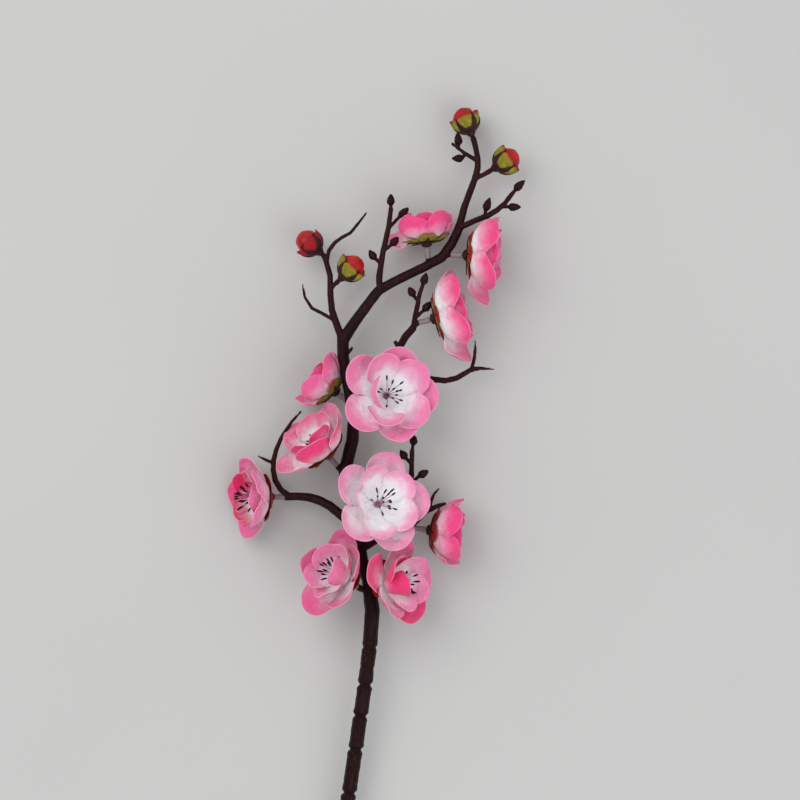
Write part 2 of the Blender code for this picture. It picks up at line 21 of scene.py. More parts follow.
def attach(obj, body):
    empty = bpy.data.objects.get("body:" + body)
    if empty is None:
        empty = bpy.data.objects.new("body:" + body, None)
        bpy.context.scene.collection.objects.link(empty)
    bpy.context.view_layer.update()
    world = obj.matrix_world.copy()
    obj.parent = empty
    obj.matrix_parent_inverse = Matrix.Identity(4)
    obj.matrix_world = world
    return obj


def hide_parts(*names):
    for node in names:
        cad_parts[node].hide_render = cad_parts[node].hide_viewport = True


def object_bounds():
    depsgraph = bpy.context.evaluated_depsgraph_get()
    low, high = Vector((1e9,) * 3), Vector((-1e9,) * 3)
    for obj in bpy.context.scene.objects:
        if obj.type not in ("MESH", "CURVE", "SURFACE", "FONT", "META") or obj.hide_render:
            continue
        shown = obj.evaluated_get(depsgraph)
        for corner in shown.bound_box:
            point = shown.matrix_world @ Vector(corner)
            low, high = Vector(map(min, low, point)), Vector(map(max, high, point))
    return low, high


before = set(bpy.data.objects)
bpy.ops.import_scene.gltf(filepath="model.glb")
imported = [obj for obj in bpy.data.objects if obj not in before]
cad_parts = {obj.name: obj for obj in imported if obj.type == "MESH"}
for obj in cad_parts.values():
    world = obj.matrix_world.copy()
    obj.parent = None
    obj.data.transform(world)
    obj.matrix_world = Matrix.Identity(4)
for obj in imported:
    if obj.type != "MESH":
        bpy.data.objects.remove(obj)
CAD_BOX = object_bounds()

MM = 0.001
print("solid box in mm:", [[round(v / MM, 1) for v in corner] for corner in CAD_BOX])

# %% [markdown]
# ## Camera and table
#
# The sprig lies flat, so the camera hangs straight above it with a long lens, which keeps near and far
# petals at the same scale. A 320 mm wide view takes in the flowering part and lets the end of the stem run
# out of the frame.

# %% Hang the camera over the flowers
VIEW_WIDTH = 320
VIEW_FROM_TOP = 117.4
VIEW_FROM_LEFT = 67.9
CAMERA_HEIGHT = 2500
MIDDLE_HEIGHT = 17
SENSOR_WIDTH = 36
VIEW_LIMIT = 10_000

low, high = CAD_BOX
camera_data = bpy.data.cameras.new("camera")
camera_data.sensor_width = SENSOR_WIDTH
camera_data.lens = SENSOR_WIDTH * (CAMERA_HEIGHT - MIDDLE_HEIGHT) / VIEW_WIDTH
camera_data.clip_end = VIEW_LIMIT * MM
camera = bpy.data.objects.new("camera", camera_data)
bpy.context.scene.collection.objects.link(camera)
camera.location = (low.x + VIEW_FROM_LEFT * MM, high.y - VIEW_FROM_TOP * MM, CAMERA_HEIGHT * MM)
bpy.context.scene.camera = camera
bpy.context.scene.view_settings.view_transform = "Standard"
print("lens", round(camera_data.lens), "mm")

# %% [markdown]
# ## Studio light
#
# Pale, even light comes from a bright room, with one wide soft panel up on the left as the key. A small
# panel on the right keeps the shaded side open. Wide panels give shadows with soft edges, as in a light
# tent.

# %% Set the panels
ROOM_COLOUR = (0.965, 0.97, 0.98, 1)
ROOM_STRENGTH = 0.79
PANELS = {
    "key_panel": dict(at=(-0.7, 0.65, 1.5), size=1.3, power=14, colour=(1.0, 0.985, 0.96)),
    "fill_panel": dict(at=(0.8, -0.6, 1.3), size=1.4, power=8, colour=(0.96, 0.98, 1.0)),
}


def hang_panel(name, at, size, power, colour):
    """A square soft panel that faces the middle of the sprig."""
    data = bpy.data.lights.new(name, "AREA")
    data.size = size
    data.energy = power
    data.color = colour
    panel = bpy.data.objects.new(name, data)
    bpy.context.scene.collection.objects.link(panel)
    panel.location = at
    panel.rotation_euler = (-Vector(at)).to_track_quat("-Z", "Y").to_euler()


for panel_name, facts in PANELS.items():
    hang_panel(panel_name, **facts)
world = bpy.data.worlds.new("room")
bpy.context.scene.world = world
world.use_nodes = True
world.node_tree.nodes["Background"].inputs["Color"].default_value = ROOM_COLOUR
world.node_tree.nodes["Background"].inputs["Strength"].default_value = ROOM_STRENGTH
print("panels:", list(PANELS))

# %% [markdown]
# ## Writing finishes as sums
#
# A finish is a small calculation that is done again at every point of a surface. Drawn as nodes it becomes
# a tangle, so here it is written as Python. A `Wire` is one output of a node, and adding or multiplying
# wires adds the Math nodes that do it. A `Finish` is a material in the making: its `node` method adds any
# node there is.


# %% Wires and finishes
class Wire:
    """One output socket of a finish, with arithmetic."""

    def __init__(self, finish, socket):
        self.finish = finish
        self.socket = socket

    def maths(self, operation, first, second=0.0):
        return self.finish.node("Math", {"operation": operation}, {0: first, 1: second})

    def __add__(self, other):
        return self.maths("ADD", self, other)

    def __radd__(self, other):
        return self.maths("ADD", other, self)

    def __sub__(self, other):
        return self.maths("SUBTRACT", self, other)

    def __mul__(self, other):
        return self.maths("MULTIPLY", self, other)

    def wave(self):
        return self.maths("SINE", self)

    def ease(self, start, end):
        """0 at start, 1 at end, with a soft beginning and ending."""
        settings = {"interpolation_type": "SMOOTHSTEP"}
        return self.finish.node("MapRange", settings, {"Value": self, "From Min": start, "From Max": end})


class Finish:
    """A material in the making, on one Principled shader."""

    def __init__(self, name):
        self.material = bpy.data.materials.new(name)
        self.material.use_nodes = True
        self.tree = self.material.node_tree
        self.shader = self.tree.nodes["Principled BSDF"]

    def node(self, kind, settings=None, sockets=None, output=0):
        """Adds a node: its settings first, then the value or the wire of each socket."""
        made = self.tree.nodes.new("ShaderNode" + kind)
        for name, value in (settings or {}).items():
            if name == "stops":
                set_stops(made.color_ramp, value)
            else:
                setattr(made, name, value)
        for name, value in (sockets or {}).items():
            self.join(made.inputs[name], value)
        return Wire(self, made.outputs[output])

    def join(self, socket, value):
        if isinstance(value, Wire):
            self.tree.links.new(value.socket, socket)
        else:
            socket.default_value = value

    def place(self):
        """Where a point lies on the sprig, in metres."""
        return self.node("TexCoord", output=3)

    def noise(self, vector, scale, detail=3.0):
        return self.node("TexNoise", None, {"Vector": vector, "Scale": scale, "Detail": detail})

    def stretched(self, vector, scales):
        settings = {"operation": "MULTIPLY"}
        return self.node("VectorMath", settings, {0: vector, 1: scales})

    def mark(self, name, output=2):
        """A number that the mesh carries at each of its points."""
        return self.node("Attribute", {"attribute_name": name}, output=output)

    def mix(self, share, first, second):
        sockets = {0: share, 6: first, 7: second}
        return self.node("Mix", {"data_type": "RGBA"}, sockets, output=2)

    def ramp(self, share, stops):
        return self.node("ValToRGB", {"stops": stops}, {"Fac": share})

    def bump(self, height, depth, under=None):
        """A relief of this depth in millimetres, on top of another one if given."""
        sockets = {"Height": height, "Distance": depth * MM}
        if under:
            sockets["Normal"] = under
        return self.node("Bump", None, sockets)

    def done(self, **sockets):
        for name, value in sockets.items():
            self.join(self.shader.inputs[name.replace("_", " ")], value)
        return self.material


def set_stops(ramp, stops):
    while len(ramp.elements) < len(stops):
        ramp.elements.new(1.0)
    for element, (place, colour) in zip(ramp.elements, stops):
        element.position = place
        element.color = colour


def dye(red, green, blue):
    """A colour given as a dyer's chart does, from 0 to 255, turned into the light that it throws back."""
    light = [((v / 255 + 0.055) / 1.055) ** 2.4 if v > 10 else v / 255 / 12.92 for v in (red, green, blue)]
    return (*light, 1)


print("white silk throws back", [round(v, 2) for v in dye(236, 226, 232)[:3]])

# %% [markdown]
# ## Tabletop
#
# The table is a wide sheet of pale matt board. A trace of mottling in its tone and a very shallow tooth
# keep it from looking empty, without drawing the eye.

# %% Lay the tabletop
TABLE_HALF = 2500
TABLE_CELLS = 4
TOOTH_DEPTH = 0.03

finish = Finish("pale_board")
clouds = finish.noise(finish.place(), 6.0)
tooth = finish.noise(finish.place(), 900.0)
board = finish.mix(clouds, dye(178, 178, 177), dye(184, 184, 183))
pale_board = finish.done(Base_Color=board, Roughness=0.8, Normal=finish.bump(tooth, TOOTH_DEPTH))
bm = bmesh.new()
bmesh.ops.create_grid(bm, x_segments=TABLE_CELLS, y_segments=TABLE_CELLS, size=TABLE_HALF * MM)
table_mesh = bpy.data.meshes.new("tabletop")
bm.to_mesh(table_mesh)
bm.free()
tabletop = bpy.data.objects.new("tabletop", table_mesh)
bpy.context.scene.collection.objects.link(tabletop)
tabletop.location.z = low.z
table_mesh.materials.append(pale_board)
print("table at", round(low.z / MM, 2), "mm")

# %% [markdown]
# ## Branch plastic
#
# The branch is one injection moulding in dark oxblood plastic. Thin twigs let a little light through and
# look redder than the stem. The mould left a fine grain, small pits, and faint streaks along the stem where
# the plastic flowed. The finish mixes two reds by how slender the branch is, adds pale flecks of painted
# highlight where the grain and the flow streaks rise, then adds the three kinds of relief.

# %% Mix the branch plastic
PAINTED_GLINT_SHARE = 0.16
BRANCH_RELIEF = 0.22

finish = Finish("oxblood_plastic")
place = finish.place()
slender = finish.mark("slender")
flow = finish.noise(finish.stretched(place, (1500.0, 90.0, 1500.0)), 1.0, 4.0)
grain = finish.noise(place, 2600.0, 4.0)
pits = finish.noise(place, 900.0, 2.0).ease(0.62, 0.75)
patches = finish.noise(place, 160.0)
thick_colour = finish.mix(patches, dye(14, 2, 3), dye(36, 8, 10))
thin_colour = finish.mix(patches, dye(34, 8, 11), dye(52, 14, 18))
body_colour = finish.mix(slender, thick_colour, thin_colour)
# Painted highlight: pale glint colour laid into the base colour where the grain and the flow streaks rise.
painted_glint = (grain * flow * 2.4).ease(0.6, 1.05) * PAINTED_GLINT_SHARE
colour = finish.mix(painted_glint, body_colour, dye(104, 78, 80))
relief = finish.bump(flow + grain * 0.5 - pits * 0.8, BRANCH_RELIEF)
oxblood = finish.done(Base_Color=colour, Roughness=0.28 + grain * 0.26, Specular_IOR_Level=0.08,
                      Normal=relief)
print("branch finish:", len(finish.tree.nodes), "nodes")

# %% [markdown]
# ## Branch
#
# The solid branch has flat-sided rods that meet in hard corners, and the real one has round rods with soft
# fillets where they grow out of each other. Rebuilding its skin as a fine even mesh melts the rods into one
# surface, and a few rounds of smoothing draw the fillets. Each round pushes back out what it took off, so
# that thin thorns do not waste away. Then the pinched rings of the stem are cut sharper and the surface
# gets its hand-made unevenness.

# %% Remould the branch
SKIN_STEP = 0.365
SAME_POINT = 0.001
ROUNDS = 7
DRAW_IN = 0.55
PUSH_OUT = -0.57


def welded(source, target, distance):
    """Writes a mesh into another one, with the points that lie this close together made one."""
    bm = bmesh.new()
    bm.from_mesh(source)
    bmesh.ops.remove_doubles(bm, verts=bm.verts, dist=distance)
    bm.to_mesh(target)
    bm.free()


def placed(name, mesh):
    """A new object in the scene with this mesh."""
    obj = bpy.data.objects.new(name, mesh)
    bpy.context.scene.collection.objects.link(obj)
    return obj


def remeshed(node, step):
    """A copy of a solid node with an even skin."""
    mesh = bpy.data.meshes.new(node + "_skin")
    welded(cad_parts[node].data, mesh, SAME_POINT * MM)
    obj = placed(node + "_skin", mesh)
    modifier = obj.modifiers.new("skin", "REMESH")
    modifier.mode = "VOXEL"
    modifier.voxel_size = step * MM
    modifier.use_smooth_shade = True
    applied(obj)
    return obj


def applied(obj):
    """Makes the modifiers' result the object's own mesh."""
    bpy.context.view_layer.update()
    graph = bpy.context.evaluated_depsgraph_get()
    mesh = bpy.data.meshes.new_from_object(obj.evaluated_get(graph))
    obj.modifiers.clear()
    obj.data = mesh


def points_of(mesh):
    points = np.empty(len(mesh.vertices) * 3)
    mesh.vertices.foreach_get("co", points)
    return points.reshape(-1, 3)


def set_points(mesh, points):
    mesh.vertices.foreach_set("co", points.ravel())
    mesh.update()


def normals_of(mesh):
    normals = np.empty(len(mesh.vertices) * 3)
    mesh.vertices.foreach_get("normal", normals)
    return normals.reshape(-1, 3)


def relaxed(mesh, rounds):
    """Smooths a mesh and keeps its volume."""
    points = points_of(mesh)
    edges = np.empty(len(mesh.edges) * 2, int)
    mesh.edges.foreach_get("vertices", edges)
    one, two = edges.reshape(-1, 2).T
    count = np.bincount(edges, minlength=len(points))[:, None]
    for _ in range(rounds):
        for share in (DRAW_IN, PUSH_OUT):
            total = np.zeros_like(points)
            np.add.at(total, one, points[two])
            np.add.at(total, two, points[one])
            points = points + share * (total / count - points)
    set_points(mesh, points)


branch = remeshed("branch", SKIN_STEP)
relaxed(branch.data, ROUNDS)
print("branch skin:", len(branch.data.polygons), "faces")

# %% [markdown]
# The stem's rings sit where the maker pinched the hot plastic. Each is a narrow cut between two swollen
# lips.

# %% Pinch the rings and roughen the skin
RING_PLACES = [22.6, 41.6, 59.6, 77.6, 95.1, 112.6, 126.1, 138.6, 153.6]
RING_CUT = 0.2
RING_CUT_WIDTH = 0.55
RING_LIP = 0.14
RING_LIP_AT = 1.7
RING_LIP_SPREAD = 0.8
STEM_REACH = 168
LUMP_SIZE = 2.6
LUMP_HEIGHT = 0.11
SKIN_SWELL = 0.1
TWIG_SWELL = 0.16
SLENDER_FROM = 0.3
THICK = 4.2
RAY_INSET = 0.05


def eased(value, start, end):
    """0 at start, 1 at end, with a soft beginning and ending."""
    share = np.clip((value - start) / (end - start), 0, 1)
    return share * share * (3 - 2 * share)


def ring_relief(along):
    """How far the stem's surface stands out at this distance from the cut end."""
    relief = np.zeros_like(along)
    for place in RING_PLACES:
        off = np.abs(along - place)
        relief -= RING_CUT * np.exp(-((off / RING_CUT_WIDTH) ** 2))
        relief += RING_LIP * np.exp(-((off - RING_LIP_AT) ** 2) / RING_LIP_SPREAD)
    return np.where(along < STEM_REACH, relief, 0)


def roughen(mesh, start, slender):
    """Adds rings and lumps, and gives twigs and knobs back what smoothing took off their corners."""
    points, normals = points_of(mesh), normals_of(mesh)
    lumps = np.array([noise.noise(Vector(point) / (LUMP_SIZE * MM)) for point in points])
    lift = SKIN_SWELL + TWIG_SWELL * eased(slender, 0, SLENDER_FROM) + LUMP_HEIGHT * lumps
    lift = lift + ring_relief((points[:, 1] - start) / MM)
    set_points(mesh, points + normals * (lift * MM)[:, None])


def mark_slender(mesh, thick):
    """Stores 1 on thin twigs and 0 on the stem, from how far it is through the branch at each point."""
    tree = BVHTree.FromPolygons([v.co for v in mesh.vertices], [p.vertices for p in mesh.polygons])
    through = []
    for vertex in mesh.vertices:
        start = vertex.co - vertex.normal * RAY_INSET * MM
        distance = tree.ray_cast(start, -vertex.normal, thick * MM)[3]
        through.append(1.0 if distance is None else distance / (thick * MM))
    slender = 1 - np.clip(through, 0, 1)
    mesh.attributes.new("slender", "FLOAT", "POINT").data.foreach_set("value", slender)
    return slender


roughen(branch.data, low.y, mark_slender(branch.data, THICK))
branch.name = "branch_moulding"
branch.data.materials.clear()
branch.data.materials.append(oxblood)
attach(branch, "root")
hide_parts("branch")
print("branch is", [round(v / MM) for v in branch.dimensions], "mm")

# %% [markdown]
# ## Finding a flower's axis
#
# Every flower is a stack of pieces on one peg. Its solid sleeve is round, so the middle of the ring at its
# foot and the middle of the ring at its top lie on the axis. The outer petals repeat five times round that
# axis, which gives the turn of the first petal.

# %% Axes of the flowers
SLEEVE_LENGTH = 4.4
RING_BAND = 0.35
FAR_OUT = 0.6
LOBES = 5
LOBE_STEP = 2 * math.pi / LOBES


def solid_points(node):
    """The different corner points of a solid node, in millimetres."""
    return np.unique(np.round(points_of(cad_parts[node].data) / MM, 4), axis=0)


def upright(axis):
    """The turn that sets a piece's own Z along this axis, with its X kept level or pointing down."""
    heading = math.atan2(axis.y, axis.x)
    return Euler((0, math.acos(max(-1, min(1, axis.z))), heading)).to_matrix()


def middle_near(points, heights, height):
    """The middle of the ring of corner points near this height."""
    return points[np.abs(heights - height) < RING_BAND].mean(axis=0)


def flower_seat(number):
    """The matrix that takes a flower built at the origin in millimetres to its peg."""
    points = solid_points(f"flower_{number}_stamens")
    middle = points.mean(axis=0)
    axis = np.linalg.svd(points - middle)[2][0]
    heights = (points - middle) @ axis
    off_axis = np.linalg.norm(points - middle - np.outer(heights, axis), axis=1)
    if off_axis[heights > 0].mean() < off_axis[heights < 0].mean():
        axis, heights = -axis, -heights
    heights -= heights.min()
    foot = middle_near(points, heights, 0)
    top = middle_near(points, heights, SLEEVE_LENGTH)
    axis = Vector(top - foot).normalized()
    return seat_matrix(foot, axis, solid_points(f"flower_{number}_petals_outer"))


def seat_matrix(foot, axis, lobed):
    """A seat at this foot and along this axis, turned so that a lobe of the lobed piece points along X."""
    turn = upright(axis)
    local = (lobed - foot) @ np.array(turn)
    radius = np.hypot(local[:, 0], local[:, 1])
    far = radius > FAR_OUT * radius.max()
    angles = np.arctan2(local[far, 1], local[far, 0])
    spin = np.angle(np.exp(1j * LOBES * angles).sum()) / LOBES
    turned = turn.to_4x4() @ Matrix.Rotation(spin, 4, "Z")
    return Matrix.Translation(Vector(foot) * MM) @ turned @ Matrix.Scale(MM, 4)


FLOWER_COUNT = 11
flower_seats = [flower_seat(number) for number in range(1, FLOWER_COUNT + 1)]
print("first flower's axis:", [round(v, 2) for v in flower_seats[0].col[2].xyz / MM])

# %% [markdown]
# ## Forming a lobed sheet
#
# Petals, sepals and bud wraps are all made in the same way: a five-lobed shape is punched out of flat
# sheet, and a hot tool presses it into a cup. So one function forms them all. It takes the lobe's side view
# as a list of leans away from the axis, its half width, and how much it bowls. Near the hole the five lobes
# are one ring. Further out each lobe is a spoon on its own, one edge a little higher than the other, so
# that neighbours overlap like tiles.

# %% The lobe former
SIDE_STEPS = 240
OPEN_RIM = 0.28
RAGGED = 0.09
LEAST_ROUND = 0.3
BROAD_WAVE, NARROW_WAVE = 0.65, 0.35
TILT_SPAN = 0.3
PARTING_SPAN = 0.22


def side_view(leans, length, hole):
    """Share of the length, distance out, height and lean at many places along a lobe's middle line."""
    shares, angles = zip(*leans)
    share = np.linspace(0, 1, SIDE_STEPS)
    lean = np.radians(np.interp(share, shares, angles))
    step = length / (SIDE_STEPS - 1)
    out = hole + np.concatenate([[0], np.cumsum(np.sin(lean[:-1]))]) * step
    up = np.concatenate([[0], np.cumsum(np.cos(lean[:-1]))]) * step
    return share, out, up, lean


def rim_waves(side, dice):
    """One broad and one narrow wave across a lobe, from -1 to 1."""
    broad = np.sin(side * dice.uniform(3.0, 5.5) + dice.uniform(0, 6))
    narrow = np.sin(side * dice.uniform(7.0, 11.0) + dice.uniform(0, 6))
    return broad * BROAD_WAVE + narrow * NARROW_WAVE


def formed_lobe(turn, leans, length, hole, join, half_width, cap, bowl, tilt, ruffle, rows, columns, dice,
                strong=0.0):
    """A lobe's grid of points and the marks at each of them.

    The lobe points along turn, and join is the share of its length where it parts from the ring. The cap
    rounds its tip, bowl is the radius that it cups to, tilt raises one edge, and ruffle makes the rim uneven.
    """
    share, out_line, up_line, lean_line = side_view(leans, length, hole)
    along = np.linspace(0, 1, rows)[:, None]
    side = np.linspace(-1, 1, columns)[None, :]
    waves = rim_waves(side, dice)
    rounding = eased(along, 0.2, 1.0) * (cap > 0)
    reach = along - cap * rounding * (1 - np.cos(side * math.pi / 2))
    reach = reach - RAGGED * ruffle * (0.5 - 0.5 * waves) * eased(along, 0.6, 1.0)
    edge_reach = along - cap * rounding
    width = half_width(edge_reach, np.interp(edge_reach, share, out_line))
    across = width * ((1 - rounding) * side + rounding * np.sin(side * math.pi / 2))
    out, up, lean = (np.interp(reach, share, line) for line in (out_line, up_line, lean_line))

    round_axis = np.clip(np.cos(lean), 0, 1) / np.maximum(out, LEAST_ROUND * length)
    bend = np.hypot(1 / bowl, round_axis)
    bend = bend * (1 - OPEN_RIM * eased(reach, 0.45, 1.0))
    aside = np.sin(bend * across) / bend
    lift = (1 - np.cos(bend * across)) / bend
    lift = lift + ruffle * waves * eased(along, 0.35, 1.0)
    lift = lift + tilt * side * eased(reach, join, join + TILT_SPAN)

    own = eased(reach, join, join + PARTING_SPAN)
    ring_turn = turn + side * LOBE_STEP / 2
    spoon_out = out - lift * np.cos(lean)
    x = own * (spoon_out * math.cos(turn) - aside * math.sin(turn)) + (1 - own) * out * np.cos(ring_turn)
    y = own * (spoon_out * math.sin(turn) + aside * math.cos(turn)) + (1 - own) * out * np.sin(ring_turn)
    z = up + own * lift * np.sin(lean)
    flat_out = hole + reach * length
    flat_x = flat_out * math.cos(turn) - across * math.sin(turn)
    flat_y = flat_out * math.sin(turn) + across * math.cos(turn)
    edge = np.zeros((rows, columns))
    edge[-1] = 1
    edge[:, [0, -1]] = (edge_reach > join)
    return dict(points=np.stack([x, y, z], -1), reach=reach, side=side + 0 * along, edge=edge,
                strong=np.full_like(x, strong), flat=np.stack([flat_x, flat_y, 0 * x + turn], -1))


print("lobe former ready,", SIDE_STEPS, "steps along each side view")

# %% [markdown]
# The lobes are laid side by side, welded where they share the ring, and given the sheet's real thickness.
# The mesh also keeps four marks for the dyeing: how far along the lobe a point is, how far across, whether
# it is on the cut edge, and which face of the sheet it is on.

# %% The layer maker
SAME_CORNER = 0.01


def smooth(mesh):
    mesh.polygons.foreach_set("use_smooth", np.ones(len(mesh.polygons), bool))


def keep_mark(mesh, name, values):
    """Stores a number at each point of a mesh."""
    mesh.attributes.new(name, "FLOAT", "POINT").data.foreach_set("value", values.astype(float))


def grid_faces(rows, columns, start):
    """The faces of a grid of points that are counted row by row from start."""
    faces = []
    for row in range(rows - 1):
        for column in range(columns - 1):
            corner = start + row * columns + column
            faces.append((corner, corner + 1, corner + columns + 1, corner + columns))
    return faces


def formed_layer(name, lobes, thickness, seat, height):
    """One punched and formed sheet, set at this height on its axis."""
    rows, columns = lobes[0]["reach"].shape
    count = rows * columns
    points = np.concatenate([lobe["points"].reshape(-1, 3) for lobe in lobes])
    faces = [face for index in range(len(lobes)) for face in grid_faces(rows, columns, index * count)]
    mesh = bpy.data.meshes.new(name)
    mesh.from_pydata(points, [], faces)
    for mark, key in (("along", "reach"), ("across", "side"), ("cut_edge", "edge"), ("strong", "strong")):
        keep_mark(mesh, mark, np.concatenate([lobe[key].ravel() for lobe in lobes]))
    flat = np.concatenate([lobe["flat"].reshape(-1, 3) for lobe in lobes])
    mesh.attributes.new("flat_cut", "FLOAT_VECTOR", "POINT").data.foreach_set("vector", flat.ravel())
    welded(mesh, mesh, SAME_CORNER)
    single = len(mesh.vertices)
    obj = placed(name, mesh)
    sheet = obj.modifiers.new("sheet", "SOLIDIFY")
    sheet.thickness = thickness
    sheet.offset = 0
    applied(obj)
    keep_mark(obj.data, "front", np.arange(len(obj.data.vertices)) >= single)
    smooth(obj.data)
    obj.data.transform(seat @ Matrix.Translation((0, 0, height)))
    obj.data.update()
    return obj


def finished(obj, material, slot, *nodes):
    """Gives a piece its finish and its body, and hides the solid nodes that it stands for; slot is not used.
    """
    obj.data.materials.append(material)
    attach(obj, "root")
    if nodes:
        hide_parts(*nodes)
    return obj


print("layer maker ready")

# %% [markdown]
# ## Petal cloth
#
# The petals are fine woven polyester, heat-cut so that the edge melts into a thin pale bead. The dye is
# airbrushed from the rim inwards, so the foot stays white and the colour grows towards the edge. The back
# of a petal is dyed more strongly than its face. Threads run straight through the flat cut, so the weave is
# worked out from the place that a point had in the flat sheet. A little light passes through, which
# subsurface scattering gives.

# %% Dye the petal cloth
THREAD_PITCH = 0.42
CREASE_DEPTH = 1.1
THREAD_DEPTH = 0.07
SILK_WHITE = dye(245, 236, 241)
VIVID_PINK = dye(232, 36, 108)


def weave(finish, flat):
    """Threads that cross in the flat cut, from -1 to 1."""
    turn = 2 * math.pi / THREAD_PITCH
    warp, weft = (finish.node("SeparateXYZ", None, {0: flat}, output=part) for part in (0, 1))
    return (warp * turn).wave() * (weft * turn).wave()


def paled(colour, share):
    """A dye let down with this share of silk white."""
    return tuple((1 - share) * a + share * b for a, b in zip(colour, SILK_WHITE))


def petal_cloth(name, rim, back, white_to, full_at):
    """Cloth that is white up to one share of the petal and fully dyed from another one on."""
    finish = Finish(name)
    strong = finish.mark("strong")
    flat = finish.mark("flat_cut", output=1)
    along, across, edge, front = (finish.mark(mark) for mark in ("along", "across", "cut_edge", "front"))
    cloud = finish.noise(flat, 0.22, 2.0)
    fibre = finish.noise(finish.stretched(flat, (2.2, 2.2, 1.0)), 1.0, 5.0)
    depth = along + across * across * 0.13 + (cloud - 0.5) * 0.34 + (fibre - 0.5) * 0.1 + strong * 0.25
    face_dye = depth.ease(white_to, full_at)
    back_dye = depth.ease(white_to - 0.08, full_at - 0.12)
    face = finish.ramp(face_dye, [(0, SILK_WHITE), (0.45, paled(rim, 0.38)), (1, rim)])
    reverse = finish.ramp(back_dye, [(0, SILK_WHITE), (0.4, paled(back, 0.45)), (1, back)])
    colour = finish.mix(front, reverse, face)
    colour = finish.mix(strong * face_dye * 0.8, colour, VIVID_PINK)
    bead = edge.ease(0.7, 1.0) * 0.3
    colour = finish.mix(bead, colour, paled(rim, 0.65))
    folds = finish.noise(finish.stretched(flat, (0.35, 0.35, 3.0)), 1.0, 2.0)
    creases = finish.bump(folds, CREASE_DEPTH)
    relief = finish.bump(weave(finish, flat) * 0.5 + fibre * 1.4 + bead, THREAD_DEPTH, under=creases)
    return finish.done(Base_Color=colour, Roughness=0.72 + fibre * 0.2, Normal=relief,
                       Specular_IOR_Level=0.25, Subsurface_Weight=0.5, Subsurface_Scale=0.0015,
                       Subsurface_Radius=(1.0, 0.45, 0.55), Sheen_Weight=0.15, Sheen_Roughness=0.5)


print("threads every", THREAD_PITCH, "mm")

# %% [markdown]
# ## Petals
#
# Each flower has an outer and an inner layer of five petals. The table gives what differs from flower to
# flower: how long the petals are, how far each one leans away from the axis, how strongly they cup, and how
# they are dyed. Flowers that face the viewer are wide open and pale, and the ones seen from the side are
# half closed with strong pink backs.

# %% Form the petals
HOLE = 0.8
PETAL_JOIN = 0.24
OUTER_SEAT = 7.4
INNER_SEAT = 8.4
INNER_SHARE = 0.84
CURL = 0.6
PETAL_THICKNESS = 0.26
PETAL_FORM = dict(hole=HOLE, join=PETAL_JOIN, cap=0.4, rows=30, columns=25)
PETAL_BOWL = 0.64
PETAL_RUFFLE = (0.3, 0.8)
PETAL_ROUNDNESS = 8.0
SECTOR_FILL = 0.985
FULLNESS = 0.5
TIP_FLICKS = [0, 8, 20, 45]
LEAN_SCATTER = 2
TILT = 0.8
EVEN = (0, 0, 0, 0, 0)
FLATTEST = 86
FOOT_LIFT = 8
OPEN_MORE = 3
SOFT_PINK, MID_PINK, HOT_PINK = dye(234, 124, 168), dye(234, 96, 150), dye(234, 68, 130)
ROSE, CRIMSON = dye(216, 92, 140), dye(204, 30, 90)

